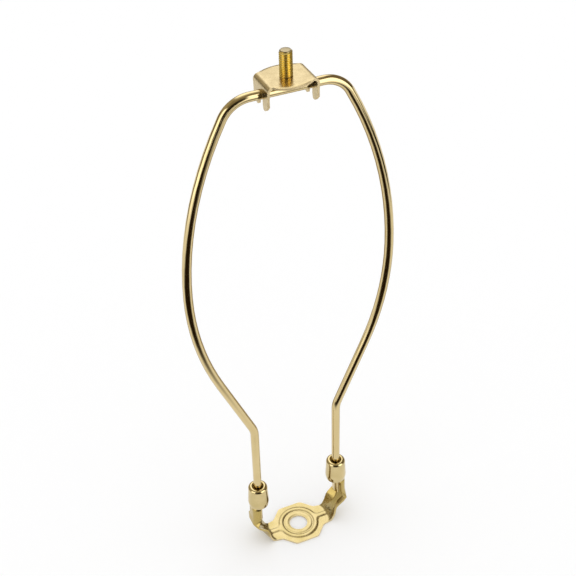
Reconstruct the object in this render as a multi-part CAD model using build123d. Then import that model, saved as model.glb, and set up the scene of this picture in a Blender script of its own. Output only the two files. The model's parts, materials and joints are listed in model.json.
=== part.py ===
from build123d import *
import os
from math import atan2, cos, pi, radians, sin, tan

# A lamp harp: a sprung wire bow that stands in a pressed saddle, is locked there by two
# sliding sleeves, and carries a swivelling bracket with a finial stud at its top.
# Millimetres. The origin is the centre of the saddle's hole, on the saddle's underside.
# +Z runs up the harp's axis and the bow lies in the XZ plane.

# Overall
harp_height = 304.8
wire_diameter = 4.76
leg_spacing = 50.6
bow_spacing = 112.2

# The bow's bends, in its own plane
widest_height = 195.1
lower_lean = 23.3
lower_side_radius = 159.5
leg_bend_radius = 16.5
shoulder_radius = 15.8
bracket_side_play = 5.4

# The bow's flattened feet
foot_height = 20.0
foot_width = 7.7
foot_flat_length = 8.0
foot_taper_length = 6.0

# Saddle sheet and plate
saddle_sheet = 1.0
saddle_hole_diameter = 11.1
saddle_lip_chamfer = 0.35
plate_flat_half_length = 7.2
plate_half_depth = 14.6
notch_reach = 13.5
notch_half_depth = 7.8
plate_corner_round = 0.7
bead_outer_diameter = 24.4
bead_inner_diameter = 18.4
bead_height = 0.8
bead_slope = 0.9
rib_width = 3.4
rib_height = 0.7
rib_reach = 19.0

# Saddle arms: each is a strip that rises as a channel, is folded, and is rolled into a trough
arm_foot_x = 19.8
arm_foot_bend_radius = 2.5
arm_foot_wall_angle = 4.0
arm_foot_floor_half_width = 4.6
arm_channel_wall_angle = 30.0
arm_channel_floor_half_width = 2.8
arm_crease_radius = 2.0
arm_fold_height = 16.9
arm_fold_bulge = 0.5
arm_fold_radius = 2.5
arm_fold_wall_angle = 16.0
arm_fold_floor_half_width = 3.4
throat_height = 21.6
throat_wall_angle = 70.0
throat_floor_half_width = 1.9
throat_crease_radius = 3.2
neck_height = 30.5
neck_lip_height = 1.2
neck_lip_wall_angle = 80.0
neck_lip_floor_half_width = 1.6
neck_lip_crease_radius = 3.4
trough_floor_half_width = 0.15
trough_foot_clearance = 0.15
trough_wall_rise = 0.1
trough_lap = 10.5
bend_steps = 2
foot_bend_share = 0.4

# Locking sleeves
sleeve_height = 14.9
sleeve_wall = 0.5
sleeve_clearance = 0.2
sleeve_seat_gap = 0.3
sleeve_mouth_diameter = 7.2
sleeve_shoulder_radius = 1.4
sleeve_swell_height = 3.2
sleeve_swell = 0.5

# Swivel bracket
bracket_sheet = 1.2
bracket_half_width = 12.9
bracket_bend_radius = 2.8
bracket_rise = 6.6
bracket_bend_half_depth = 8.5
bracket_plate_half_depth = 11.9
ear_half_depth = 8.1
ear_drop = 6.2
ear_taper_height = 3.3
prong_tip_inner = 3.1
prong_tip_outer = 5.2
prong_throat_drop = 3.9
swivel_clearance = 0.07

# Finial stud
stud_diameter = 6.3
stud_length = 12.7
stud_tip_chamfer = 0.7
stud_shank_diameter = 4.8
stud_shank_clearance = 0.05
stud_rivet_diameter = 7.0
stud_rivet_height = 0.9
stud_rivet_chamfer = 0.4
stud_collar_diameter = 6.8
stud_collar_depth = 0.2
stud_collar_clearance = 0.05

# Sizes that follow from the ones above
wire_radius = wire_diameter / 2
leg_x = leg_spacing / 2
top_axis_height = harp_height - bracket_rise
foot_flat_half = wire_radius**2 / (foot_width / 2)
trough_inner_radius = foot_width / 2 + trough_foot_clearance
trough_mid_radius = trough_inner_radius + saddle_sheet / 2
trough_outer_radius = trough_inner_radius + saddle_sheet
trough_x = leg_x + trough_mid_radius
trough_bend_radius = trough_mid_radius - trough_floor_half_width
arm_strip_half_width = trough_floor_half_width + trough_bend_radius * pi / 2 + trough_wall_rise
sleeve_inner_radius = trough_outer_radius + sleeve_clearance
sleeve_outer_radius = sleeve_inner_radius + sleeve_wall
arm_mid_height = saddle_sheet / 2
arm_fold_x = trough_x + arm_fold_bulge
arm_rise = atan2(arm_fold_height - arm_mid_height, arm_fold_x - arm_foot_x)
arm_root_x = arm_foot_x - arm_foot_bend_radius * tan(arm_rise / 2)
sleeve_base = neck_height + sleeve_seat_gap


def bow_path():
    """The bow's centre line: straight legs, leaning runs, side arcs, shoulders and top.

    Each upper side is one arc from the widest point to its shoulder, tangent to both.
    """
    lean = radians(lower_lean)
    widest = (bow_spacing / 2, widest_height)
    low = (widest[0] - lower_side_radius * (1 - cos(lean)), widest[1] - lower_side_radius * sin(lean))
    leg_corner = (leg_x, low[1] - (low[0] - leg_x) / tan(lean))
    leg_tangent = leg_bend_radius * tan(lean / 2)
    leg_top = (leg_x, leg_corner[1] - leg_tangent)
    run_foot = (leg_x + leg_tangent * sin(lean), leg_corner[1] + leg_tangent * cos(lean))

    shoulder_head = (bracket_half_width + bracket_side_play, top_axis_height)
    shoulder_centre = (shoulder_head[0], top_axis_height - shoulder_radius)
    reach = widest[0] - shoulder_centre[0]
    climb = shoulder_centre[1] - widest[1]
    upper_side_radius = (reach**2 + climb**2 - shoulder_radius**2) / (2 * (reach - shoulder_radius))
    tilt = atan2(climb, upper_side_radius - reach)
    shoulder_foot = (
        shoulder_centre[0] + shoulder_radius * cos(tilt),
        shoulder_centre[1] + shoulder_radius * sin(tilt),
    )

    def half(side):
        def at(point):
            return (side * point[0], 0, point[1])

        def heading(angle):
            return (side * sin(angle), 0, cos(angle))

        return [
            Line(at((leg_x, foot_height + foot_flat_length + foot_taper_length)), at(leg_top)),
            TangentArc(at(leg_top), at(run_foot), tangent=heading(0)),
            Line(at(run_foot), at(low)),
            TangentArc(at(low), at(widest), tangent=heading(lean)),
            TangentArc(at(widest), at(shoulder_foot), tangent=heading(0)),
            TangentArc(at(shoulder_foot), at(shoulder_head), tangent=heading(-tilt)),
        ]

    top = Line((shoulder_head[0], 0, top_axis_height), (-shoulder_head[0], 0, top_axis_height))
    return Wire(half(1) + [top] + half(-1))


def bow_foot(side):
    """A leg's end, pressed from round to a flat oval that is too wide to leave its sleeve."""
    x = side * leg_x
    flat_top = foot_height + foot_flat_length
    oval = Plane((x, 0, flat_top)) * Ellipse(foot_flat_half, foot_width / 2)
    round_end = Plane((x, 0, flat_top + foot_taper_length)) * Circle(wire_radius)
    return extrude(oval, -foot_flat_length) + loft([oval, round_end])


def bow_wire():
    path = bow_path()
    start = path @ 0
    section = Plane(start, z_dir=(0, 0, 1)) * Circle(wire_radius)
    return sweep(section, path=path) + bow_foot(1) + bow_foot(-1)


def plate_blank():
    """The flat plate: eight-sided, notched where each arm's strip leaves it."""
    corner = (plate_flat_half_length, plate_half_depth)
    notch = (notch_reach, notch_half_depth)
    arm = (arm_root_x, arm_strip_half_width)
    quarter = [corner, notch, arm]
    points = quarter + [(x, -y) for x, y in reversed(quarter)]
    points += [(-x, -y) for x, y in quarter] + [(-x, y) for x, y in reversed(quarter)]
    outline = make_face(Polyline(*points, close=True))
    corners = outline.vertices().filter_by(lambda v: abs(abs(v.X) - corner[0]) < 0.01)
    outline = fillet(corners, plate_corner_round)
    return extrude(outline, saddle_sheet)


def pressed_ring():
    """The ring of sheet round the hole, pressed up into a raised bead."""
    hole = saddle_hole_diameter / 2
    outer = bead_outer_diameter / 2
    inner = bead_inner_diameter / 2
    lift = bead_height

    def line(height):
        return [
            (outer + bead_slope, height),
            (outer, height),
            (outer - bead_slope, height + lift),
            (inner + bead_slope, height + lift),
            (inner, height),
            (hole, height),
        ]

    outline = Polyline(*line(0), *reversed(line(saddle_sheet)), close=True)
    ring = revolve(Plane.XZ * make_face(outline), Axis.Z)
    lip = ring.edges().filter_by(GeomType.CIRCLE).filter_by(lambda e: abs(e.radius - hole) < 0.01)
    return chamfer(lip.sort_by(Axis.Z)[-1:], saddle_lip_chamfer)


def rib_bar(side, lift):
    """A low round-backed bar along one arm's root: the pressed rib's skin, or its hollow."""
    half = rib_width / 2
    start = bead_outer_diameter / 2 - bead_slope
    back = Edge.make_three_point_arc((-half, 0), (0, rib_height), (half, 0))
    end = Plane((side * start, 0, lift), x_dir=(0, 1, 0), z_dir=(side, 0, 0))
    face = end * make_face([back, Line((half, 0), (-half, 0))])
    return extrude(face, rib_reach - start)


def arm_section(side, place, angle_up, floor, wall_angle, crease):
    """The arm's bent strip, cut square to its own run: floor, two creases and two walls."""
    angle = radians(wall_angle)
    wall = arm_strip_half_width - floor - crease * angle
    half = saddle_sheet / 2

    def edge_points(radius):
        foot = (floor, crease - radius)
        middle = (floor + radius * sin(angle / 2), crease - radius * cos(angle / 2))
        top = (floor + radius * sin(angle), crease - radius * cos(angle))
        return foot, middle, top, (top[0] + wall * cos(angle), top[1] + wall * sin(angle))

    def mirrored(point):
        return (-point[0], point[1])

    outer = edge_points(crease + half)
    inner = edge_points(crease - half)
    edges = []
    for foot, middle, top, tip in (outer, inner):
        edges += [
            Line(mirrored(tip), mirrored(top)),
            ThreePointArc(mirrored(top), mirrored(middle), mirrored(foot)),
            Line(mirrored(foot), foot),
            ThreePointArc(foot, middle, top),
            Line(top, tip),
        ]
    edges += [Line(outer[3], inner[3]), Line(mirrored(outer[3]), mirrored(inner[3]))]
    heading = (side * cos(angle_up), 0, sin(angle_up))
    station = Plane((side * place[0], 0, place[1]), x_dir=(0, side, 0), z_dir=heading)
    return station * make_face(edges)


def arm_stations():
    """Places up the arm's floor, each with its slope and its floor, wall angle and crease."""
    flat = (arm_foot_floor_half_width, arm_foot_wall_angle, arm_crease_radius)
    channel = (arm_channel_floor_half_width, arm_channel_wall_angle, arm_crease_radius)
    fold = (arm_fold_floor_half_width, arm_fold_wall_angle, arm_crease_radius)
    throat = (throat_floor_half_width, throat_wall_angle, throat_crease_radius)
    lip = (neck_lip_floor_half_width, neck_lip_wall_angle, neck_lip_crease_radius)
    tube = (trough_floor_half_width, 90.0, trough_bend_radius)

    lean_back = atan2(throat_height - arm_fold_height, trough_x - arm_fold_x)
    turn = lean_back - arm_rise
    tangent = arm_fold_radius * tan(turn / 2)
    centre_x = arm_fold_x - tangent * cos(arm_rise) - arm_fold_radius * sin(arm_rise)
    centre_z = arm_fold_height - tangent * sin(arm_rise) + arm_fold_radius * cos(arm_rise)

    stations = [((arm_root_x - saddle_sheet, arm_mid_height), 0.0, flat)]
    for step in range(bend_steps + 1):
        share = step / bend_steps
        angle = arm_rise * share
        x = arm_root_x + arm_foot_bend_radius * sin(angle)
        z = arm_mid_height + arm_foot_bend_radius * (1 - cos(angle))
        shape = tuple(a + (b - a) * foot_bend_share * share for a, b in zip(flat, channel))
        stations.append(((x, z), angle, shape))
    middle = ((arm_foot_x + arm_fold_x) / 2, (arm_mid_height + arm_fold_height) / 2)
    stations.append((middle, arm_rise, channel))
    for step in range(bend_steps + 1):
        angle = arm_rise + turn * step / bend_steps
        x = centre_x + arm_fold_radius * sin(angle)
        z = centre_z - arm_fold_radius * cos(angle)
        stations.append(((x, z), angle, fold))
    upright = [
        (throat_height, throat),
        (neck_height - neck_lip_height, lip),
        (neck_height, tube),
        (neck_height + trough_lap, tube),
    ]
    return stations + [((trough_x, z), pi / 2, shape) for z, shape in upright]


def saddle_arm(side):
    sections = [arm_section(side, place, angle, *shape) for place, angle, shape in arm_stations()]
    return loft(sections, ruled=True)


def saddle():
    body = plate_blank() - extrude(Circle(bead_outer_diameter / 2), saddle_sheet)
    body += pressed_ring()
    for side in (1, -1):
        body += saddle_arm(side)
        body += rib_bar(side, saddle_sheet)
        body -= rib_bar(side, 0)
    return body


def sleeve(side):
    """A thin drawn tube: a turned-in shoulder at the top, widest near its foot."""
    base = sleeve_base
    top = base + sleeve_height
    swell_top = base + sleeve_swell_height
    mouth = sleeve_mouth_diameter / 2

    def skin(radius, shoulder, crown):
        return [
            (radius, base),
            (radius + sleeve_swell, swell_top),
            (radius, crown - shoulder),
            (radius - shoulder, crown),
            (mouth, crown),
        ]

    outer = skin(sleeve_outer_radius, sleeve_shoulder_radius, top)
    inner = skin(sleeve_inner_radius, sleeve_shoulder_radius - sleeve_wall, top - sleeve_wall)
    edges = [
        Polyline(*reversed(outer[:3]), *inner),
        Bezier(outer[2], (sleeve_outer_radius, top), outer[3]),
        Polyline(outer[3], outer[4], inner[4]),
    ]
    tube = revolve(Plane.XZ * make_face(edges), Axis.Z)
    return Pos(side * leg_x, 0, 0) * tube


def bracket_strip():
    """The bracket's sheet, bent down at both ends, before its outline is cut."""
    top = harp_height
    foot = top_axis_height - ear_drop
    outer = Pos(0, (top + foot) / 2) * Rectangle(2 * bracket_half_width, top - foot)
    outer = fillet(outer.vertices().group_by(Axis.Y)[-1], bracket_bend_radius)
    hollow_top = top - bracket_sheet
    hollow = Pos(0, (hollow_top + foot) / 2) * Rectangle(
        2 * (bracket_half_width - bracket_sheet), hollow_top - foot
    )
    hollow = fillet(hollow.vertices().group_by(Axis.Y)[-1], bracket_bend_radius - bracket_sheet)
    return extrude(Plane.XZ * (outer - hollow), bracket_plate_half_depth, both=True)


def bracket_plan():
    """The bracket seen from above: front and back edges bowed out between the bends."""
    reach = bracket_half_width
    flat = reach - bracket_bend_radius
    side = bracket_bend_half_depth
    edges = []
    for sign in (1, -1):
        edges += [
            Line((sign * reach, -sign * side), (sign * reach, sign * side)),
            Line((sign * reach, sign * side), (sign * flat, sign * side)),
            ThreePointArc(
                (sign * flat, sign * side),
                (0, sign * bracket_plate_half_depth),
                (-sign * flat, sign * side),
            ),
            Line((-sign * flat, sign * side), (-sign * reach, sign * side)),
        ]
    return Pos(0, 0, top_axis_height - ear_drop) * extrude(make_face(edges), bracket_rise + ear_drop)


def ear_outline():
    """The bracket seen along the wire: ears that narrow to two prongs each."""
    shoulder = bracket_rise - bracket_bend_radius
    half = [
        (bracket_plate_half_depth, bracket_rise),
        (bracket_plate_half_depth, shoulder),
        (bracket_bend_half_depth, shoulder),
        (ear_half_depth, 0),
        (ear_half_depth, -ear_taper_height),
        (prong_tip_outer, -ear_drop),
    ]
    points = half + [(-y, z) for y, z in reversed(half)]
    outline = make_face(Polyline(*points, close=True))
    return extrude(Plane.YZ * Pos(0, top_axis_height) * outline, bracket_half_width, both=True)


def slot_cutter():
    """The slot that takes the wire: round-topped, open below and widening between the prongs."""
    radius = wire_radius + swivel_clearance
    throat = -prong_throat_drop
    tip = -ear_drop
    edges = [
        ThreePointArc((-radius, 0), (0, radius), (radius, 0)),
        Line((radius, 0), (radius, throat)),
        Line((radius, throat), (prong_tip_inner, tip)),
        Line((prong_tip_inner, tip), (-prong_tip_inner, tip)),
        Line((-prong_tip_inner, tip), (-radius, throat)),
        Line((-radius, throat), (-radius, 0)),
    ]
    face = Plane.YZ * Pos(0, top_axis_height) * make_face(edges)
    return extrude(face, bracket_half_width, both=True)


def swivel_bracket():
    body = bracket_strip() & bracket_plan() & ear_outline()
    body -= slot_cutter()
    hole = stud_shank_diameter / 2 + stud_shank_clearance
    seat = stud_collar_diameter / 2 + stud_collar_clearance
    body -= Pos(0, 0, harp_height - bracket_sheet) * extrude(Circle(hole), bracket_sheet)
    body -= Pos(0, 0, harp_height - stud_collar_depth) * extrude(Circle(seat), stud_collar_depth)
    return body


def finial_stud():
    """The stud, its collar sunk flush in the plate and its shank riveted beneath the sheet."""
    post = extrude(Circle(stud_diameter / 2), stud_length)
    post = chamfer(post.faces().sort_by(Axis.Z)[-1].edges(), stud_tip_chamfer)
    collar = extrude(Circle(stud_collar_diameter / 2), -stud_collar_depth)
    shank = Pos(0, 0, -bracket_sheet) * extrude(Circle(stud_shank_diameter / 2), bracket_sheet)
    head = extrude(Circle(stud_rivet_diameter / 2), -stud_rivet_height)
    head = chamfer(head.faces().sort_by(Axis.Z)[0].edges(), stud_rivet_chamfer)
    head = Pos(0, 0, -bracket_sheet) * head
    return Pos(0, 0, harp_height) * (post + collar + shank + head)


def save(name, shape):
    export_step(shape, os.path.join("parts", name + ".step"))


os.makedirs("parts", exist_ok=True)
save("bow_wire", bow_wire())
save("saddle", saddle())
save("sleeve_left", sleeve(-1))
save("sleeve_right", sleeve(1))
save("swivel_bracket", swivel_bracket())
save("finial_stud", finial_stud())
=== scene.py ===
import json
from math import atan2, cos, hypot, pi, radians, sin, tan

import bmesh
import bpy
from mathutils import Matrix, Vector


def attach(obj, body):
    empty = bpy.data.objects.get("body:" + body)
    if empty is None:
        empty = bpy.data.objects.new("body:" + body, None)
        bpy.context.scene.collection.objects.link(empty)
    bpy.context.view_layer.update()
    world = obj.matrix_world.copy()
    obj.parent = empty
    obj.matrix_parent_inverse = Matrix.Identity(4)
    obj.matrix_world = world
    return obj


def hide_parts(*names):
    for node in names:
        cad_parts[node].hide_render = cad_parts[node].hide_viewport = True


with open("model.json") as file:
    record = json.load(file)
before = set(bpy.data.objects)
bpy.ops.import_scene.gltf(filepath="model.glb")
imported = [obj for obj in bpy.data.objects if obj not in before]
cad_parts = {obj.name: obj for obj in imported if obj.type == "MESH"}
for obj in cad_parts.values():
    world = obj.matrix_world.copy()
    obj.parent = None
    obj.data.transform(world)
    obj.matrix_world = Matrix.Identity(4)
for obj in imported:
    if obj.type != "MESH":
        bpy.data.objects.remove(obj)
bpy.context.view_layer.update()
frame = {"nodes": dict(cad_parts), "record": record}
mm = 0.001
# points closer than weldGap are one, rows are told apart by rowGap
weldGap, rowGap = 1e-7, 0.01 * mm


# Materials: every finish is plated or solid brass, told apart by gloss, tone and fine texture
def newMaterial(name):
    mat = bpy.data.materials.new(name)
    mat.use_nodes = True
    mat.node_tree.nodes.clear()
    return mat, mat.node_tree


def addNode(tree, kind, **values):
    node = tree.nodes.new(kind)
    for key, value in values.items():
        setattr(node, key, value)
    return node


def noiseNode(tree, place, scale, detail):
    noise = addNode(tree, "ShaderNodeTexNoise")
    noise.inputs["Scale"].default_value = scale
    noise.inputs["Detail"].default_value = detail
    tree.links.new(place, noise.inputs["Vector"])
    return noise.outputs["Fac"]


def spanNode(tree, value, before, after=(0, 1), kind="LINEAR"):
    # carries a value from one span to another
    span = addNode(tree, "ShaderNodeMapRange", interpolation_type=kind)
    for socket, number in zip(("From Min", "From Max", "To Min", "To Max"), (*before, *after)):
        span.inputs[socket].default_value = number
    tree.links.new(value, span.inputs["Value"])
    return span.outputs["Result"]


def blendNode(tree, share, first, second):
    # from a linked colour to a set one; the numbers are the sockets of a colour mix
    blend = addNode(tree, "ShaderNodeMix", data_type="RGBA")
    tree.links.new(share, blend.inputs[0])
    tree.links.new(first, blend.inputs[6])
    blend.inputs[7].default_value = (*second, 1)
    return blend.outputs[2]


def heightOf(tree, place):
    parts = addNode(tree, "ShaderNodeSeparateXYZ")
    tree.links.new(place, parts.inputs["Vector"])
    return parts.outputs["Z"]


texture = {"mottleDetail": 3, "grainDetail": 4, "noiseSpan": (0.3, 0.7), "bumpDistance": 0.1 * mm}


def brassMaterial(name, finish):
    mat, tree = newMaterial(name)
    link = tree.links.new
    place = addNode(tree, "ShaderNodeTexCoord").outputs["Object"]
    stretch = addNode(tree, "ShaderNodeMapping")
    stretch.inputs["Scale"].default_value = finish["grainStretch"]
    link(place, stretch.inputs["Vector"])
    mottle = noiseNode(tree, place, finish["mottleScale"], texture["mottleDetail"])
    grain = noiseNode(tree, stretch.outputs["Vector"], finish["grainScale"], texture["grainDetail"])

    tone = addNode(tree, "ShaderNodeValToRGB")
    for index, colourName in enumerate(("deepColour", "paleColour")):
        tone.color_ramp.elements[index].position = texture["noiseSpan"][index]
        tone.color_ramp.elements[index].color = (*finish[colourName], 1)
    link(mottle, tone.inputs["Fac"])

    # the rim attribute marks cut edges and bends, which get the paler rim colour as a painted highlight
    rim = addNode(tree, "ShaderNodeAttribute", attribute_name="rim").outputs["Fac"]
    colour = blendNode(tree, rim, tone.outputs["Color"], finish["rimHighlightColour"])
    # a colour blended in by height: painted shade on the saddle's arms, and the bare metal of the stud's cut
    # end
    if "heightTint" in finish:
        tint = finish["heightTint"]
        share = spanNode(tree, heightOf(tree, place), (tint["from"], tint["to"]), (0, tint["share"]))
        colour = blendNode(tree, share, colour, tint["colour"])

    # rims can be duller than the polished sheet
    gloss = spanNode(tree, grain, texture["noiseSpan"], finish["roughness"])
    dull = spanNode(tree, rim, (0, 1), (1, finish["rimDull"]))
    sheen = addNode(tree, "ShaderNodeMath", operation="MULTIPLY")
    link(gloss, sheen.inputs[0])
    link(dull, sheen.inputs[1])

    relief = addNode(tree, "ShaderNodeBump")
    relief.inputs["Strength"].default_value = finish["relief"]
    relief.inputs["Distance"].default_value = texture["bumpDistance"]
    link(grain, relief.inputs["Height"])

    shader = addNode(tree, "ShaderNodeBsdfPrincipled")
    shader.inputs["Metallic"].default_value = 1
    link(colour, shader.inputs["Base Color"])
    link(sheen.outputs["Value"], shader.inputs["Roughness"])
    link(relief.outputs["Normal"], shader.inputs["Normal"])
    output = addNode(tree, "ShaderNodeOutputMaterial")
    link(shader.outputs["BSDF"], output.inputs["Surface"])
    return mat


# the rim colour of each finish is a painted highlight: a paler gold laid on the cut sheet edges and on the
# bracket's bends
finishes = {
    "wire_brass": {
        "deepColour": (0.64, 0.505, 0.25), "paleColour": (0.70, 0.56, 0.295),
        "rimHighlightColour": (0.78, 0.65, 0.40), "rimDull": 1,
        "roughness": (0.09, 0.14), "mottleScale": 60, "grainScale": 900,
        "grainStretch": (1, 1, 0.08), "relief": 0.04,
    },
    "saddle_brass": {
        "deepColour": (0.49, 0.39, 0.165), "paleColour": (0.585, 0.475, 0.24),
        "rimHighlightColour": (0.74, 0.62, 0.37), "rimDull": 1.3,
        "roughness": (0.20, 0.30), "mottleScale": 160, "grainScale": 1400,
        "grainStretch": (1, 1, 1), "relief": 0.08,
        # higher up, the rolled arms are painted a deeper, darker gold: painted shade and painted gold
        # inter-reflection in their channels
        "heightTint": {"from": 0.0025, "to": 0.009, "share": 0.85, "colour": (0.48, 0.355, 0.105)},
    },
    "sleeve_brass": {
        "deepColour": (0.59, 0.47, 0.22), "paleColour": (0.67, 0.54, 0.28),
        "rimHighlightColour": (0.72, 0.58, 0.30), "rimDull": 1,
        "roughness": (0.10, 0.17), "mottleScale": 160, "grainScale": 1200,
        "grainStretch": (1, 1, 0.1), "relief": 0.05,
    },
    "bracket_brass": {
        "deepColour": (0.51, 0.40, 0.205), "paleColour": (0.63, 0.505, 0.275),
        "rimHighlightColour": (0.78, 0.64, 0.38), "rimDull": 2.2,
        "roughness": (0.20, 0.32), "mottleScale": 260, "grainScale": 1600,
        "grainStretch": (1, 1, 1), "relief": 0.12,
    },
    "stud_brass": {
        "deepColour": (0.76, 0.58, 0.14), "paleColour": (0.88, 0.68, 0.22),
        "rimHighlightColour": (0.88, 0.68, 0.22), "rimDull": 1,
        "roughness": (0.22, 0.32), "mottleScale": 200, "grainScale": 1200,
        "grainStretch": (1, 1, 1), "relief": 0.05,
        # the sawn end of the stud is bare metal
        "heightTint": {"from": 0.3168, "to": 0.3170, "share": 1, "colour": (0.38, 0.31, 0.18)},
    },
}
materials = {slot: brassMaterial(slot + "_look", finish) for slot, finish in finishes.items()}
bodyOf = {node: body for body, nodes in frame["record"]["behaviour"]["bodies"].items() for node in nodes}
slotOf = {part["node"]: part["material_slot"] for part in frame["record"]["subparts"]}
for nodeName, slotName in slotOf.items():
    for nodeSlot in frame["nodes"][nodeName].material_slots:
        nodeSlot.material = materials[slotName]
print("materials made")


# Mesh helpers shared by the pieces
def vertsOf(geometry):
    return [item for item in geometry if isinstance(item, bmesh.types.BMVert)]


def edgesOf(geometry):
    return [item for item in geometry if isinstance(item, bmesh.types.BMEdge)]


def extrudeRow(bm, edges, place):
    # extrudes a row of edges, and puts each new vertex where place says
    grown = bmesh.ops.extrude_edge_only(bm, edges=edges)["geom"]
    for vert in vertsOf(grown):
        vert.co = place(vert)
    return edgesOf(grown)


def turnRow(bm, edges, centre, axis, angle, steps):
    made = bmesh.ops.spin(
        bm, geom=list({vert for edge in edges for vert in edge.verts}) + edges,
        cent=centre, axis=axis, dvec=(0, 0, 0), angle=angle, steps=steps, use_duplicate=False,
    )
    return edgesOf(made["geom_last"])


# how finely turned corners are rounded
fewestSegments, segmentTurn = 3, radians(15)


def turnedShape(bm, corners, centre, steps):
    # a profile of (radius, height, rounding) corners, turned once round a vertical axis
    places = [Vector((across, 0, height)) for across, height, rounding in corners]
    verts = [bm.verts.new(place) for place in places]
    for pair in zip(verts, verts[1:]):
        bm.edges.new(pair)
    for index in range(1, len(corners) - 1):
        rounding = corners[index][2]
        if rounding:
            here = places[index]
            half = (places[index - 1] - here).angle(places[index + 1] - here) / 2
            segments = max(fewestSegments, round((pi - 2 * half) / segmentTurn))
            bmesh.ops.bevel(
                bm, geom=[verts[index]], offset=rounding / tan(half), offset_type="OFFSET",
                segments=segments, profile=0.5, affect="VERTICES", material=-1,
            )
    bmesh.ops.spin(
        bm, geom=list(bm.verts) + list(bm.edges), cent=(0, 0, 0), axis=(0, 0, 1), dvec=(0, 0, 0),
        angle=2 * pi, steps=steps, use_merge=True, use_duplicate=False,
    )
    bmesh.ops.remove_doubles(bm, verts=bm.verts, dist=weldGap)
    bmesh.ops.translate(bm, verts=bm.verts, vec=centre)


def subdivided(corners, spacing):
    # walks from corner to corner in even steps, leaving out the last corner
    points = []
    for here, there in zip(corners, corners[1:]):
        steps = max(1, round((Vector(there) - Vector(here)).length / spacing))
        points += [Vector(here).lerp(Vector(there), step / steps) for step in range(steps)]
    return points


def punchedPlate(bm, outline, rings, shareSteps, lift):
    # a sheet grown outwards from its round hole: rings first, then shares of the way to the outline
    spoke = bm.verts.layers.int.new("spoke")
    circle = bmesh.ops.create_circle(bm, segments=len(outline), radius=rings[0])["verts"]
    for index, vert in enumerate(circle):
        vert[spoke] = index
        vert.co = outline[index].normalized().to_3d() * rings[0]
        vert.co.z = lift
    edges = list(bm.edges)

    def onRing(radius):
        return lambda vert: (outline[vert[spoke]].normalized() * radius).to_3d() + Vector((0, 0, lift))

    def towardsEdge(share):
        def place(vert):
            point = outline[vert[spoke]]
            return (point.normalized() * rings[-1]).lerp(point, share).to_3d() + Vector((0, 0, lift))
        return place

    for radius in rings[1:]:
        edges = extrudeRow(bm, edges, onRing(radius))
    for step in range(1, shareSteps + 1):
        edges = extrudeRow(bm, edges, towardsEdge(step / shareSteps))
    return edges


def smoothStep(low, high, value):
    share = min(max((value - low) / (high - low), 0), 1)
    return share * share * (3 - 2 * share)


def softMinimum(first, second, reach):
    share = max(reach - abs(first - second), 0) / reach
    return min(first, second) - share * share * reach / 4


def finishPiece(bm, name, node, sharpAngle):
    bmesh.ops.remove_doubles(bm, verts=bm.verts, dist=weldGap)
    bmesh.ops.recalc_face_normals(bm, faces=bm.faces)
    rim = bm.verts.layers.float.get("rim") or bm.verts.layers.float.new("rim")
    # boundary points are marked as rim, for the painted highlight along the cut edges
    for edge in bm.edges:
        if edge.is_boundary:
            for vert in edge.verts:
                vert[rim] = 1
    for face in bm.faces:
        face.smooth = True
    for edge in bm.edges:
        edge.smooth = not (len(edge.link_faces) == 2 and edge.calc_face_angle() > sharpAngle)
    mesh = bpy.data.meshes.new(name)
    bm.to_mesh(mesh)
    bm.free()
    mesh.materials.append(materials[slotOf[node]])
    piece = bpy.data.objects.new(name, mesh)
    bpy.context.collection.objects.link(piece)
    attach(piece, bodyOf[node])
    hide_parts(node)
    return piece


# how the cut edges of sheet are rounded
cutEdge = {"segments": 3, "angle": radians(50)}


def sheetMetal(piece, thickness, edgeRound):
    # gives a middle surface its gauge, then softens the cut edges
    wall = piece.modifiers.new("gauge", "SOLIDIFY")
    wall.thickness = thickness
    wall.offset = 0
    wall.use_even_offset = True
    wall.use_quality_normals = True
    soft = piece.modifiers.new("edges", "BEVEL")
    soft.width = edgeRound
    soft.segments = cutEdge["segments"]
    soft.limit_method = "ANGLE"
    soft.angle_limit = cutEdge["angle"]
    soft.harden_normals = True


# The bow: one round wire, bent in its own plane, with pressed feet
bow = {
    "wireRadius": 2.38 * mm, "legX": 25.3 * mm, "halfWidth": 56.1 * mm,
    "widestHeight": 195.1 * mm, "topAxis": 298.2 * mm, "topHalfFlat": 18.3 * mm,
    "lowerLean": radians(23.3), "lowerSideRadius": 159.5 * mm,
    "legBendRadius": 16.5 * mm, "shoulderRadius": 15.8 * mm,
    "footHeight": 20.0 * mm, "footHalfWidth": 3.85 * mm,
    "footFlat": 8.0 * mm, "footTaper": 6.0 * mm, "footEdge": 0.3 * mm,
    "ringCorners": 48, "bendStep": radians(2.5), "taperSteps": 6,
    "middleWeld": 0.01 * mm, "sharpAngle": radians(40),
}


def footShape(share):
    # half thickness and half width of the pressed foot: 0 is fully pressed, 1 is round wire
    ease = smoothStep(0, 1, share)
    thin = bow["wireRadius"]**2 / bow["footHalfWidth"]
    return (
        thin + (bow["wireRadius"] - thin) * ease,
        bow["footHalfWidth"] + (bow["wireRadius"] - bow["footHalfWidth"]) * ease,
    )


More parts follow.
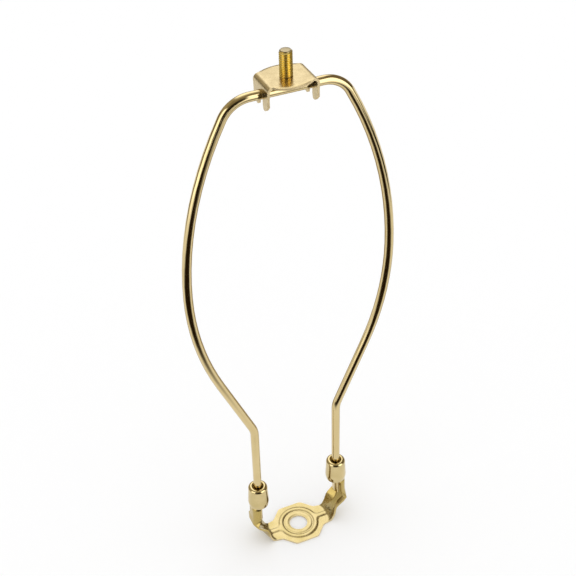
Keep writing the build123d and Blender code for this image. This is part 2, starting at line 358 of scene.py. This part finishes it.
def buildBow():
    bm = bmesh.new()
    thin, wide = footShape(0)
    inset = bow["footEdge"]
    ring = bmesh.ops.create_circle(bm, cap_ends=True, segments=bow["ringCorners"], radius=1)["verts"]
    shrink = Matrix.Diagonal((thin - inset, wide - inset, 1, 1))
    bmesh.ops.transform(bm, matrix=Matrix.Translation((bow["legX"], 0, bow["footHeight"])) @ shrink, verts=ring)
    edges = list(bm.edges)

    def reshape(old, new, height):
        def place(vert):
            across = (vert.co.x - bow["legX"]) * new[0] / old[0]
            return Vector((bow["legX"] + across, vert.co.y * new[1] / old[1], height))
        return place

    shape = (thin - inset, wide - inset)
    rings = [((thin, wide), bow["footHeight"] + inset), ((thin, wide), bow["footHeight"] + bow["footFlat"])]
    for step in range(1, bow["taperSteps"] + 1):
        share = step / bow["taperSteps"]
        rings.append((footShape(share), bow["footHeight"] + bow["footFlat"] + bow["footTaper"] * share))
    for newShape, height in rings:
        edges = extrudeRow(bm, edges, reshape(shape, newShape, height))
        shape = newShape

    lean = bow["lowerLean"]
    lowX = bow["halfWidth"] - bow["lowerSideRadius"] * (1 - cos(lean))
    lowZ = bow["widestHeight"] - bow["lowerSideRadius"] * sin(lean)
    tangent = bow["legBendRadius"] * tan(lean / 2)
    legTop = lowZ - (lowX - bow["legX"]) / tan(lean) - tangent
    run = (lowX - bow["legX"]) / sin(lean) - tangent
    reach = bow["halfWidth"] - bow["topHalfFlat"]
    climb = bow["topAxis"] - bow["shoulderRadius"] - bow["widestHeight"]
    upperRadius = (reach**2 + climb**2 - bow["shoulderRadius"]**2) / (2 * (reach - bow["shoulderRadius"]))
    tilt = atan2(climb, upperRadius - reach)

    def bend(row, centreX, centreZ, angle):
        steps = max(2, round(abs(angle) / bow["bendStep"]))
        return turnRow(bm, row, (centreX, 0, centreZ), (0, 1, 0), angle, steps)

    edges = extrudeRow(bm, edges, lambda vert: Vector((vert.co.x, vert.co.y, legTop)))
    edges = bend(edges, bow["legX"] + bow["legBendRadius"], legTop, lean)
    along = Vector((sin(lean), 0, cos(lean))) * run
    edges = extrudeRow(bm, edges, lambda vert: vert.co + along)
    edges = bend(edges, bow["halfWidth"] - bow["lowerSideRadius"], bow["widestHeight"], -lean)
    edges = bend(edges, bow["halfWidth"] - upperRadius, bow["widestHeight"], -tilt)
    shoulderZ = bow["topAxis"] - bow["shoulderRadius"]
    edges = bend(edges, bow["topHalfFlat"], shoulderZ, tilt - pi / 2)
    extrudeRow(bm, edges, lambda vert: Vector((0, vert.co.y, vert.co.z)))
    everything = list(bm.verts) + list(bm.edges) + list(bm.faces)
    bmesh.ops.mirror(bm, geom=everything, matrix=Matrix.Identity(4), merge_dist=bow["middleWeld"], axis="X")
    finishPiece(bm, "bowWire", "bow_wire", bow["sharpAngle"])


buildBow()
print("bow made")


# The sleeves: drawn tubes with a rounded, turned-in lip
sleeve = {
    "base": 30.8 * mm, "height": 14.9 * mm, "wall": 0.5 * mm, "radius": 5.7 * mm,
    "swell": 0.5 * mm, "swellHeight": 3.2 * mm, "shoulder": 1.8 * mm, "mouth": 3.15 * mm,
    "lipRound": 0.65 * mm, "lipTuck": 1.0 * mm, "turns": 96, "sharpAngle": radians(40),
    "baseChamfer": 0.45, "baseRound": 0.15 * mm, "bellyRound": 4 * mm, "neckDrop": 1.7, "neckRound": 6 * mm,
    "edgeRound": 0.1 * mm, "underLipRound": 0.12 * mm,
}


def buildSleeve(name, node, side):
    base, top = sleeve["base"], sleeve["base"] + sleeve["height"]
    outer, wall, swell = sleeve["radius"], sleeve["wall"], sleeve["swell"]
    inner = outer - wall
    belly = base + sleeve["swellHeight"]
    edge = wall * sleeve["baseChamfer"]
    mouth, shoulder, small = sleeve["mouth"], sleeve["shoulder"], sleeve["edgeRound"]
    neck, tuck = top - sleeve["neckDrop"] * shoulder, top - sleeve["lipTuck"]
    corners = [
        (inner, base + edge, 0), (inner + edge, base, small), (outer, base, sleeve["baseRound"]),
        (outer + swell, belly, sleeve["bellyRound"]), (outer, neck, sleeve["neckRound"]),
        (outer, top, shoulder),
        (mouth, top, sleeve["lipRound"]), (mouth, tuck, small), (mouth + wall, tuck, small),
        (mouth + wall, top - wall, sleeve["underLipRound"]), (inner, top - wall, shoulder - wall),
        (inner, neck, sleeve["neckRound"]), (inner + swell, belly, sleeve["bellyRound"]),
        (inner, base + edge, 0),
    ]
    bm = bmesh.new()
    turnedShape(bm, corners, (side * bow["legX"], 0, 0), sleeve["turns"])
    finishPiece(bm, name, node, sleeve["sharpAngle"])


buildSleeve("sleeveLeft", "sleeve_left", -1)
buildSleeve("sleeveRight", "sleeve_right", 1)
print("sleeves made")


# The stud: a cut thread with a chamfered, domed tip, and a shank riveted under the plate
stud = {
    "base": 304.8 * mm, "length": 12.7 * mm, "radius": 3.15 * mm, "pitch": 0.94 * mm,
    "depth": 0.577 * mm, "sharpAngle": radians(35), "threadWeld": 0.001 * mm,
    "crestShare": 0.08, "rootShare": 0.14, "tipChamfer": 0.7 * mm, "tipDome": 0.12 * mm,
    "turns": 72, "spareTurns": 3, "startTurn": 1.5, "domeRows": 4, "domeCore": 0.02,
    "shankRadius": 2.4 * mm, "sheet": 1.2 * mm,
    "headRadius": 3.5 * mm, "headHeight": 0.9 * mm, "headRound": 0.45 * mm,
}


def buildStud():
    bm = bmesh.new()
    pitch, crest, root = stud["pitch"], stud["radius"], stud["radius"] - stud["depth"]
    flank = (1 - stud["crestShare"] - stud["rootShare"]) / 2
    tooth = [
        (crest, 0), (crest, stud["crestShare"]), (root, stud["crestShare"] + flank), (root, 1 - flank),
    ]
    count = round(stud["length"] / pitch) + stud["spareTurns"]
    places = [(across, 0, (turn + share) * pitch) for turn in range(count) for across, share in tooth]
    verts = [bm.verts.new(place) for place in places]
    edges = [bm.edges.new(pair) for pair in zip(verts, verts[1:])]
    bmesh.ops.spin(
        bm, geom=verts + edges, cent=(0, 0, 0), axis=(0, 0, 1), dvec=(0, 0, pitch / stud["turns"]),
        angle=2 * pi, steps=stud["turns"], use_duplicate=False,
    )
    bmesh.ops.remove_doubles(bm, verts=bm.verts, dist=stud["threadWeld"])
    low = stud["startTurn"] * pitch
    high = low + stud["length"] - stud["tipDome"]
    for height, upward in ((low, -1), (high, 1)):
        geometry = list(bm.verts) + list(bm.edges) + list(bm.faces)
        cut = bmesh.ops.bisect_plane(
            bm, geom=geometry, dist=weldGap, plane_co=(0, 0, height), plane_no=(0, 0, upward), clear_outer=True,
        )
        rim = edgesOf(cut["geom_cut"])
        if upward > 0:
            chamferBase = high - stud["tipChamfer"]
            for vert in bm.verts:
                limit = crest - max(0, vert.co.z - chamferBase)
                reach = hypot(vert.co.x, vert.co.y)
                if reach > limit:
                    vert.co.x *= limit / reach
                    vert.co.y *= limit / reach
            # the dome: each row shrinks from the one before, and the last leaves a small core
            rows = stud["domeRows"]
            for row in range(1, rows + 1):
                turn, before = row / rows * pi / 2, (row - 1) / rows * pi / 2
                keep = cos(turn) / cos(before) if row < rows else stud["domeCore"]
                rise = high + stud["tipDome"] * sin(turn)
                rim = extrudeRow(bm, rim, lambda vert: Vector((vert.co.x * keep, vert.co.y * keep, rise)))
        bmesh.ops.edgeloop_fill(bm, edges=rim)
    bmesh.ops.translate(bm, verts=bm.verts, vec=(0, 0, stud["base"] - low))

    lowest = stud["base"] - stud["sheet"] - stud["headHeight"]
    under = stud["base"] - stud["sheet"]
    rivet = bmesh.new()
    turnedShape(rivet, [
        (0, lowest, 0), (stud["headRadius"], lowest, stud["headRound"]), (stud["headRadius"], under, 0),
        (stud["shankRadius"], under, 0), (stud["shankRadius"], stud["base"], 0), (0, stud["base"], 0),
    ], (0, 0, 0), stud["turns"])
    spare = bpy.data.meshes.new("rivet")
    rivet.to_mesh(spare)
    rivet.free()
    bm.from_mesh(spare)
    bpy.data.meshes.remove(spare)
    finishPiece(bm, "finialStud", "finial_stud", stud["sharpAngle"])


buildStud()
print("stud made")


# The saddle: one sheet, punched, pressed into a bead with two ribs, and rolled up at both arms
saddle = {
    "sheet": 1.0 * mm, "edgeRound": 0.22 * mm, "sharpAngle": radians(60),
    "corner": (7.2 * mm, 14.6 * mm), "notch": (13.5 * mm, 7.8 * mm), "cornerPasses": 3,
    "beadOuter": 11.75 * mm, "beadInner": 9.65 * mm, "beadHeight": 0.46 * mm, "pressSlope": 1.02 * mm,
    "hubInner": (5.3 * mm, 7.2 * mm), "hubOuter": (7.4 * mm, 9.2 * mm), "hubHeight": 0.3 * mm,
    "ribHalf": 1.3 * mm, "ribHeight": 0.42 * mm, "ribEnd": 21.2 * mm, "ribFlare": 2.6 * mm,
    "crownFade": 2 * mm, "stripSpare": 0.1 * mm,
    "armFoot": 19.8 * mm, "footBend": 4.2 * mm, "foldHeight": 16.9 * mm, "foldBulge": 0.5 * mm,
    "foldBend": 1.8 * mm, "throatHeight": 21.6 * mm, "neckHeight": 30.5 * mm, "lipDrop": 1.2 * mm,
    "troughX": 29.8 * mm, "troughLap": 10.5 * mm, "across": 56, "outlineStep": 0.7 * mm,
    # radii in millimetres of the rings of points, from the hole outwards, and rows from there to the outline
    "rings": (
        5.55, 5.75, 6.0, 6.3, 6.6, 6.85, 7.1, 7.6, 7.9, 8.2, 8.5, 8.8, 9.1, 9.3, 9.5, 9.7, 9.9, 10.1, 10.3,
        10.7, 11.1, 11.3, 11.5, 11.7, 11.9, 12.1, 12.3, 12.6,
    ),
    "shareSteps": 18, "footSteps": 8, "armSteps": 10, "foldSteps": 6,
    # how far the foot is a channel, and the shares of the arm over which its section changes
    "footShare": 0.4, "toChannel": (0, 0.5), "toFold": (0.45, 1),
    # floor half width, wall angle, crease radius and widening of the strip at each named place
    "foot": (4.6 * mm, 4, 2.0 * mm, 1), "channel": (1.3 * mm, 33, 1.2 * mm, 1.09),
    "fold": (2.8 * mm, 18, 1.6 * mm, 1.03), "throat": (1.9 * mm, 70, 3.2 * mm, 1),
    "lip": (1.6 * mm, 80, 3.4 * mm, 1), "trough": (0.15 * mm, 90, 4.35 * mm, 1),
}
# the trough is a half circle, so it sets how wide the flat strip is
saddle["stripHalf"] = saddle["trough"][0] + saddle["trough"][2] * pi / 2 + saddle["stripSpare"]


def pressedHeight(along, across):
    # how far the sheet is pushed up at a place on the flat strip
    radius, slope = hypot(along, across), saddle["pressSlope"]
    ribWidth = abs(across) - saddle["ribHalf"]
    ribLength = abs(along) - saddle["ribEnd"]
    rib = max(ribWidth, ribLength, saddle["beadInner"] - abs(along))
    edge = softMinimum(radius - saddle["beadOuter"], rib, saddle["ribFlare"])
    raised = (1 - smoothStep(-slope, slope, edge)) * smoothStep(-slope, slope, radius - saddle["beadInner"])
    crown = 1 - smoothStep(saddle["beadOuter"], saddle["beadOuter"] + saddle["crownFade"], radius)
    height = saddle["ribHeight"] + (saddle["beadHeight"] - saddle["ribHeight"]) * crown
    hub = smoothStep(*saddle["hubInner"], radius) * (1 - smoothStep(*saddle["hubOuter"], radius))
    return raised * height + hub * saddle["hubHeight"]


def stripPoint(across, shape):
    # a point of the bent strip, square to its run: sideways, then into the channel
    floor, angle, crease = shape[0], radians(shape[1]), shape[2]
    side, distance = (-1 if across < 0 else 1), abs(across) * shape[3]
    if distance <= floor:
        return side * distance, 0
    turn = min((distance - floor) / crease, angle)
    rest = distance - floor - crease * turn
    return (
        side * (floor + crease * sin(turn) + rest * cos(turn)),
        crease * (1 - cos(turn)) + rest * sin(turn),
    )


def armRows():
    # where the arm leaves the plate, and its rows: place of the floor in the arm's plane, slope and section
    rise = atan2(
        saddle["foldHeight"] - saddle["sheet"] / 2,
        saddle["troughX"] + saddle["foldBulge"] - saddle["armFoot"],
    )
    foldX = saddle["troughX"] + saddle["foldBulge"]
    lean = atan2(saddle["throatHeight"] - saddle["foldHeight"], saddle["troughX"] - foldX)
    bend, fold = saddle["footBend"], saddle["foldBend"]
    root = saddle["armFoot"] - bend * tan(rise / 2)
    tangent = fold * tan((lean - rise) / 2)
    foldStart = Vector((foldX - tangent * cos(rise), saddle["foldHeight"] - tangent * sin(rise)))
    low = saddle["sheet"] / 2
    footEnd = Vector((root + bend * sin(rise), low + bend * (1 - cos(rise))))

    def moved(shape, goal, share):
        return tuple(a + (b - a) * share for a, b in zip(shape, goal))

    rows = []
    for step in range(1, saddle["footSteps"] + 1):
        share = step / saddle["footSteps"]
        angle = rise * share
        place = Vector((root + bend * sin(angle), low + bend * (1 - cos(angle))))
        rows.append((place, angle, moved(saddle["foot"], saddle["channel"], saddle["footShare"] * share)))
    atFoot = rows[-1][2]
    for step in range(1, saddle["armSteps"] + 1):
        share = step / saddle["armSteps"]
        shape = moved(atFoot, saddle["channel"], smoothStep(*saddle["toChannel"], share))
        shape = moved(shape, saddle["fold"], smoothStep(*saddle["toFold"], share))
        rows.append((footEnd.lerp(foldStart, share), rise, shape))
    centre = foldStart + Vector((-sin(rise), cos(rise))) * fold
    for step in range(1, saddle["foldSteps"] + 1):
        angle = rise + (lean - rise) * step / saddle["foldSteps"]
        rows.append((centre + Vector((sin(angle), -cos(angle))) * fold, angle, saddle["fold"]))
    # straight runs, up to the trough's end: height reached, section at the start and the end, rows
    lipHeight = saddle["neckHeight"] - saddle["lipDrop"]
    runs = [
        (saddle["throatHeight"], "fold", "throat", 8), (lipHeight, "throat", "lip", 8),
        (saddle["neckHeight"], "lip", "trough", 3),
        (saddle["neckHeight"] + saddle["troughLap"], "trough", "trough", 6),
    ]
    for height, first, second, steps in runs:
        start, startAngle = rows[-1][0], rows[-1][1]
        goal = Vector((saddle["troughX"], height))
        for step in range(1, steps + 1):
            share = step / steps
            angle = startAngle + (pi / 2 - startAngle) * share
            rows.append((start.lerp(goal, share), angle, moved(saddle[first], saddle[second], share)))
    return root, rows


def buildSaddle():
    bm = bmesh.new()
    acrossLayer = bm.verts.layers.float.new("across")
    root, rows = armRows()
    half, count, low = saddle["stripHalf"], saddle["across"], saddle["sheet"] / 2
    strip = [-half + 2 * half * step / count for step in range(count + 1)]
    cornerPath = [(root, half), saddle["notch"], saddle["corner"]]
    cornerPath += [(-x, y) for x, y in reversed(cornerPath)]
    upper = subdivided(cornerPath, saddle["outlineStep"])[1:]
    for _ in range(saddle["cornerPasses"]):
        ends = [Vector((root, half))] + upper + [Vector((-root, half))]
        upper = [(a + 2 * b + c) / 4 for a, b, c in zip(ends, ends[1:], ends[2:])]
    outline = [Vector((root, y)) for y in strip] + upper
    outline += [-point for point in outline]
    edges = punchedPlate(bm, outline, [radius * mm for radius in saddle["rings"]], saddle["shareSteps"], low)
    for vert in bm.verts:
        vert.co.z += pressedHeight(vert.co.x, vert.co.y)
    for side in (1, -1):
        row = [edge for edge in edges if all(side * vert.co.x > root - rowGap for vert in edge.verts)]
        for vert in {vert for edge in row for vert in edge.verts}:
            vert[acrossLayer] = vert.co.y
        run = root
        before = Vector((root, low))
        for place, angle, shape in rows:
            run += (place - before).length
            before = place
            into = Vector((-side * sin(angle), 0, cos(angle)))

            def place3d(vert):
                across = vert[acrossLayer]
                sideways, inwards = stripPoint(across, shape)
                inwards += pressedHeight(run, across)
                return Vector((side * place.x, sideways, place.y)) + into * inwards

            row = extrudeRow(bm, row, place3d)
    piece = finishPiece(bm, "saddlePlate", "saddle", saddle["sharpAngle"])
    sheetMetal(piece, saddle["sheet"], saddle["edgeRound"])


buildSaddle()
print("saddle made")


# The swivel bracket: a bowed plate whose ends turn down into forked ears
bracket = {
    "sheet": 1.2 * mm, "edgeRound": 0.42 * mm, "top": 304.8 * mm, "halfWidth": 12.9 * mm,
    "bend": 2.8 * mm, "sharpAngle": radians(60),
    "rise": 6.6 * mm, "halfDepth": 11.9 * mm, "bendHalfDepth": 8.5 * mm, "hole": 2.45 * mm,
    "earHalfDepth": 8.1 * mm, "earDrop": 6.2 * mm, "taperStart": 3.3 * mm, "slot": 2.45 * mm,
    "throatDrop": 3.9 * mm, "tipInner": 3.1 * mm, "tipOuter": 5.2 * mm, "tipRound": 0.6 * mm,
    # how strongly the top of each bend gets the painted highlight of the rim colour
    "bendHighlight": 0.5, "droop": 0.34 * mm, "droopWidth": 1.6 * mm, "droopFade": 0.75,
    # rings of points: multiples of the hole, then a share of the bend's half depth
    "ringShares": (1, 1.15, 1.5, 2.2), "lastRing": 0.85,
    "across": 32, "arcSteps": 28, "shareSteps": 14, "bendSteps": 8, "slotSteps": 10, "tipSteps": 4,
}


def earEdges(height):
    # inner and outer half widths of an ear at a height above the wire's axis
    drop, slot = bracket["earDrop"], bracket["slot"]
    inner = 0 if height >= slot else (slot**2 - max(height, 0)**2) ** 0.5
    if height < -bracket["throatDrop"]:
        share = (-height - bracket["throatDrop"]) / (drop - bracket["throatDrop"])
        inner = slot + (bracket["tipInner"] - slot) * share
    outer = bracket["earHalfDepth"]
    shoulder = bracket["rise"] - bracket["bend"]
    if height > 0:
        outer += (bracket["bendHalfDepth"] - outer) * min(height / shoulder, 1)
    if height < -bracket["taperStart"]:
        share = (-height - bracket["taperStart"]) / (drop - bracket["taperStart"])
        outer += (bracket["tipOuter"] - outer) * share
    nearTip = max(0, -height - drop + bracket["tipRound"])
    rounding = bracket["tipRound"] - (bracket["tipRound"]**2 - nearTip**2) ** 0.5
    return inner + rounding, outer - rounding


def buildBracket():
    bm = bmesh.new()
    acrossLayer = bm.verts.layers.float.new("across")
    rimLayer = bm.verts.layers.float.new("rim")
    root = bracket["halfWidth"] - bracket["bend"]
    low = bracket["top"] - bracket["sheet"] / 2
    deep, wide, count = bracket["halfDepth"], bracket["bendHalfDepth"], bracket["across"]
    straight = [Vector((root, -wide + 2 * wide * step / count)) for step in range(count + 1)]
    sag = deep - wide
    arcRadius = (root**2 + sag**2) / (2 * sag)
    sweep = 2 * atan2(root, arcRadius - sag)
    arc = []
    for step in range(1, bracket["arcSteps"]):
        angle = sweep / 2 - sweep * step / bracket["arcSteps"]
        arc.append(Vector((arcRadius * sin(angle), deep - arcRadius * (1 - cos(angle)))))
    outline = straight + arc
    outline += [-point for point in outline]
    rings = [bracket["hole"] * share for share in bracket["ringShares"]] + [wide * bracket["lastRing"]]
    edges = punchedPlate(bm, outline, rings, bracket["shareSteps"], low)
    for vert in bm.verts:
        edgeY = deep - arcRadius + (arcRadius**2 - vert.co.x**2) ** 0.5
        near = max(0, 1 - (edgeY - abs(vert.co.y)) / bracket["droopWidth"])
        inward = 1 - smoothStep(bracket["droopFade"] * root, root, abs(vert.co.x))
        vert.co.z -= bracket["droop"] * near**2 * inward
    axis = bracket["top"] - bracket["rise"]
    bendMiddle = bracket["bend"] - bracket["sheet"] / 2
    for side in (1, -1):
        row = [edge for edge in edges if all(side * vert.co.x > root - rowGap for vert in edge.verts)]
        for vert in {vert for edge in row for vert in edge.verts}:
            vert[acrossLayer] = vert.co.y / wide

        def rowPlace(x, z, inner, outer, prong=0):
            def place(vert):
                share = vert[acrossLayer]
                facing = prong or (-1 if share < 0 else 1)
                return Vector((side * x, facing * (inner + (outer - inner) * abs(share)), z))
            return place

        for step in range(1, bracket["bendSteps"] + 1):
            share = step / bracket["bendSteps"]
            angle = pi / 2 * share
            x = root + bendMiddle * sin(angle)
            z = bracket["top"] - bracket["bend"] + bendMiddle * cos(angle)
            row = extrudeRow(bm, row, rowPlace(x, z, 0, wide))
            # rows of the bend near the plate are marked for the painted highlight, fading towards the ear
            for vert in {vert for edge in row for vert in edge.verts}:
                vert[rimLayer] = bracket["bendHighlight"] * (1 - share)
        x = root + bendMiddle
        row = extrudeRow(bm, row, rowPlace(x, axis + bracket["slot"], 0, earEdges(bracket["slot"])[1]))
        slotSteps, tipSteps = bracket["slotSteps"], bracket["tipSteps"]
        tip, tipRound = -bracket["earDrop"], bracket["tipRound"]
        heights = [bracket["slot"] * cos(pi / 2 * step / slotSteps) for step in range(1, slotSteps + 1)]
        heights += [-bracket["taperStart"], -bracket["throatDrop"], tip + tipRound]
        heights += [tip + tipRound * (1 - sin(pi / 2 * step / tipSteps)) for step in range(1, tipSteps + 1)]
        for prong in (1, -1):
            half = [edge for edge in row if all(prong * vert.co.y > -rowGap for vert in edge.verts)]
            for height in heights:
                half = extrudeRow(bm, half, rowPlace(x, axis + height, *earEdges(height), prong))
    piece = finishPiece(bm, "swivelBracket", "swivel_bracket", bracket["sharpAngle"])
    sheetMetal(piece, bracket["sheet"], bracket["edgeRound"])


buildBracket()
print("bracket made")


# The camera, solved from the photograph: angles in degrees, lengths in metres, lens and sensor in millimetres
photoView = {
    "azimuth": -22.6, "elevation": 37.57, "roll": -1.73, "distance": 0.5730, "aimHeight": 0.18368,
    "aimSide": -0.00208, "lens": 69.18, "sensor": 36, "clipStart": 0.01,
}

# Stage: a white table in a small studio, with two softboxes, a bright window behind and a dark front.
# Angles are from the camera's own heading: 0 looks back at the camera, positive is to its right.
stage = {
    "floorSize": 8.0, "floorColour": (0.92, 0.92, 0.92), "floorRoughness": 0.9, "floorLight": 1.36,
    "cardHeight": 0.002, "cardGap": 0.0005, "roomColour": (0.26, 0.22, 0.14),
    # patches of the room that reflections see: azimuth, elevation, full and vanishing radius, colour
    "roomPatches": (
        (115, 30, 15, 50, (0.19, 0.15, 0.10)), (-108, 24, 20, 50, (0.47, 0.41, 0.29)),
        (180, 86, 5, 27, (0.62, 0.58, 0.50)), (-170, 60, 9, 25, (1.75, 1.75, 1.75)),
        (-175, 40, 12, 28, (1.76, 1.76, 1.76)), (6, 8, 22, 44, (0.02, 0.014, 0.006)),
        (-110, -4, 14, 32, (0.16, 0.14, 0.11)), (86, 0, 12, 26, (0.02, 0.014, 0.008)),
    ),
    # softboxes: azimuth, distance, width, height, brightness
    "softBoxes": {"softBoxRight": (60, 0.65, 0.69, 1.02, 2.35), "softBoxLeft": (-53, 1.0, 0.90, 1.22, 1.95)},
    "boxSoftEdge": (0.13, 0.15),
    # cards on the floor that only reflections see: middle and half size to the side and to the front,
    # soft edges, colour
    "floorCards": {
        "darkFront": (-0.04, 0.88, 0.42, 0.80, 0.21, 0.10, (0.020, 0.011, 0.003)),
        "darkFar": (0.0, 2.2, 0.90, 1.5, 0.45, 0.35, (0.016, 0.009, 0.002)),
        "darkRight": (1.25, 0.09, 0.86, 0.32, 0.14, 0.15, (0.012, 0.008, 0.003)),
        "darkFarRight": (2.7, 0.40, 1.25, 1.05, 0.40, 0.40, (0.02, 0.012, 0.004)),
        "dimLeft": (-1.5, -0.22, 1.05, 0.24, 0.30, 0.12, (0.20, 0.17, 0.13)),
        "dimFarLeft": (-2.7, -0.30, 1.25, 0.95, 0.50, 0.40, (0.16, 0.14, 0.10)),
        "dimBehind": (0.0, -0.19, 0.30, 0.17, 0.14, 0.10, (0.42, 0.35, 0.24)),
        "brightLeft": (-1.35, 0.92, 0.88, 0.84, 0.55, 0.45, (1.62, 1.62, 1.62)),
    },
}


def flatSheet(name, corners, material):
    mesh = bpy.data.meshes.new(name)
    bm = bmesh.new()
    bm.faces.new([bm.verts.new(corner) for corner in corners])
    bm.to_mesh(mesh)
    bm.free()
    mesh.materials.append(material)
    sheet = bpy.data.objects.new(name, mesh)
    bpy.context.collection.objects.link(sheet)
    return sheet


def paperMaterial(name, colour, roughness):
    mat, tree = newMaterial(name)
    shader = addNode(tree, "ShaderNodeBsdfPrincipled")
    shader.inputs["Base Color"].default_value = (*colour, 1)
    shader.inputs["Roughness"].default_value = roughness
    shader.inputs["Specular IOR Level"].default_value = 0
    output = addNode(tree, "ShaderNodeOutputMaterial")
    tree.links.new(shader.outputs["BSDF"], output.inputs["Surface"])
    return mat


def fadingMaterial(name, halfSize, softEdge, glow):
    # a sheet drawn flat round its own origin, solid in the middle and clear at its edges
    mat, tree = newMaterial(name)
    link = tree.links.new
    coords = addNode(tree, "ShaderNodeTexCoord")
    parts = addNode(tree, "ShaderNodeSeparateXYZ")
    link(coords.outputs["Object"], parts.inputs["Vector"])
    cover = addNode(tree, "ShaderNodeMath", operation="MULTIPLY")
    for index, axis in enumerate("XY"):
        away = addNode(tree, "ShaderNodeMath", operation="ABSOLUTE")
        link(parts.outputs[axis], away.inputs[0])
        edges = (halfSize[index], halfSize[index] - softEdge[index])
        link(spanNode(tree, away.outputs["Value"], edges, kind="SMOOTHSTEP"), cover.inputs[index])
    clear = addNode(tree, "ShaderNodeBsdfTransparent")
    solid = addNode(tree, "ShaderNodeEmission")
    solid.inputs["Color"].default_value = (*glow, 1)
    mix = addNode(tree, "ShaderNodeMixShader")
    link(cover.outputs["Value"], mix.inputs["Fac"])
    link(clear.outputs["BSDF"], mix.inputs[1])
    link(solid.outputs["Emission"], mix.inputs[2])
    output = addNode(tree, "ShaderNodeOutputMaterial")
    link(mix.outputs["Shader"], output.inputs["Surface"])
    return mat


def reflectedCard(name, halfSize, softEdge, glow, place):
    wide, deep = halfSize
    corners = [(-wide, -deep, 0), (wide, -deep, 0), (wide, deep, 0), (-wide, deep, 0)]
    card = flatSheet(name, corners, fadingMaterial(name + "_light", halfSize, softEdge, glow))
    card.matrix_world = place
    card.visible_camera = False
    card.visible_diffuse = False
    card.visible_shadow = False
    card.visible_transmission = False


def headingTo(azimuth, elevation=0):
    # a direction by its angles from the camera's heading
    turn, climb = radians(photoView["azimuth"] + azimuth), radians(elevation)
    return Vector((sin(turn) * cos(climb), -cos(turn) * cos(climb), sin(climb)))


def buildRoom():
    # the floor gets even light; reflections see the room's patches
    world = bpy.data.worlds.new("room")
    bpy.context.scene.world = world
    world.use_nodes = True
    tree = world.node_tree
    tree.nodes.clear()
    link = tree.links.new
    coords = addNode(tree, "ShaderNodeTexCoord")
    look = addNode(tree, "ShaderNodeRGB").outputs["Color"]
    look.default_value = (*stage["roomColour"], 1)
    for azimuth, elevation, full, gone, colour in stage["roomPatches"]:
        towards = addNode(tree, "ShaderNodeVectorMath", operation="DOT_PRODUCT")
        towards.inputs[1].default_value = headingTo(azimuth, elevation)
        link(coords.outputs["Generated"], towards.inputs[0])
        edges = (cos(radians(gone)), cos(radians(full)))
        look = blendNode(tree, spanNode(tree, towards.outputs["Value"], edges, kind="SMOOTHSTEP"), look, colour)
    seen = addNode(tree, "ShaderNodeBackground")
    link(look, seen.inputs["Color"])
    even = addNode(tree, "ShaderNodeBackground")
    even.inputs["Strength"].default_value = stage["floorLight"]
    rays = addNode(tree, "ShaderNodeLightPath")
    pick = addNode(tree, "ShaderNodeMixShader")
    link(rays.outputs["Is Glossy Ray"], pick.inputs["Fac"])
    link(even.outputs["Background"], pick.inputs[1])
    link(seen.outputs["Background"], pick.inputs[2])
    output = addNode(tree, "ShaderNodeOutputWorld")
    link(pick.outputs["Shader"], output.inputs["Surface"])


def buildStage():
    half = stage["floorSize"] / 2
    floorPaper = paperMaterial("floorPaper", stage["floorColour"], stage["floorRoughness"])
    flatSheet("floor", [(-half, -half, 0), (half, -half, 0), (half, half, 0), (-half, half, 0)], floorPaper)
    level = Matrix.Rotation(radians(photoView["azimuth"]), 4, "Z")
    lift = stage["cardHeight"]
    for name, (aside, ahead, wide, deep, softX, softY, colour) in stage["floorCards"].items():
        middle = headingTo(90) * aside + headingTo(0) * ahead + Vector((0, 0, lift))
        reflectedCard(name, (wide, deep), (softX, softY), colour, Matrix.Translation(middle) @ level)
        lift += stage["cardGap"]
    for name, (azimuth, distance, width, height, glow) in stage["softBoxes"].items():
        middle = headingTo(azimuth) * distance + Vector((0, 0, height / 2))
        upright = headingTo(azimuth).to_track_quat("Z", "Y").to_matrix().to_4x4()
        size = (width / 2, height / 2)
        reflectedCard(name, size, stage["boxSoftEdge"], (glow,) * 3, Matrix.Translation(middle) @ upright)
    buildRoom()


def buildCamera():
    turn = radians(photoView["azimuth"])
    roll = radians(photoView["roll"])
    back = headingTo(0, photoView["elevation"])
    level = Vector((cos(turn), sin(turn), 0))
    upright = back.cross(level)
    right = cos(roll) * level + sin(roll) * upright
    up = cos(roll) * upright - sin(roll) * level
    aim = Vector((0, 0, photoView["aimHeight"])) + photoView["aimSide"] * right
    cam = bpy.data.objects.new("camera", bpy.data.cameras.new("camera"))
    cam.data.lens = photoView["lens"]
    cam.data.sensor_width = photoView["sensor"]
    cam.data.clip_start = photoView["clipStart"]
    spin = Matrix((right, up, back)).transposed().to_4x4()
    cam.matrix_world = Matrix.Translation(aim + back * photoView["distance"]) @ spin
    bpy.context.collection.objects.link(cam)
    bpy.context.scene.camera = cam


buildStage()
buildCamera()
bpy.context.scene.view_settings.view_transform = "Standard"
print("stage, lights and camera made")
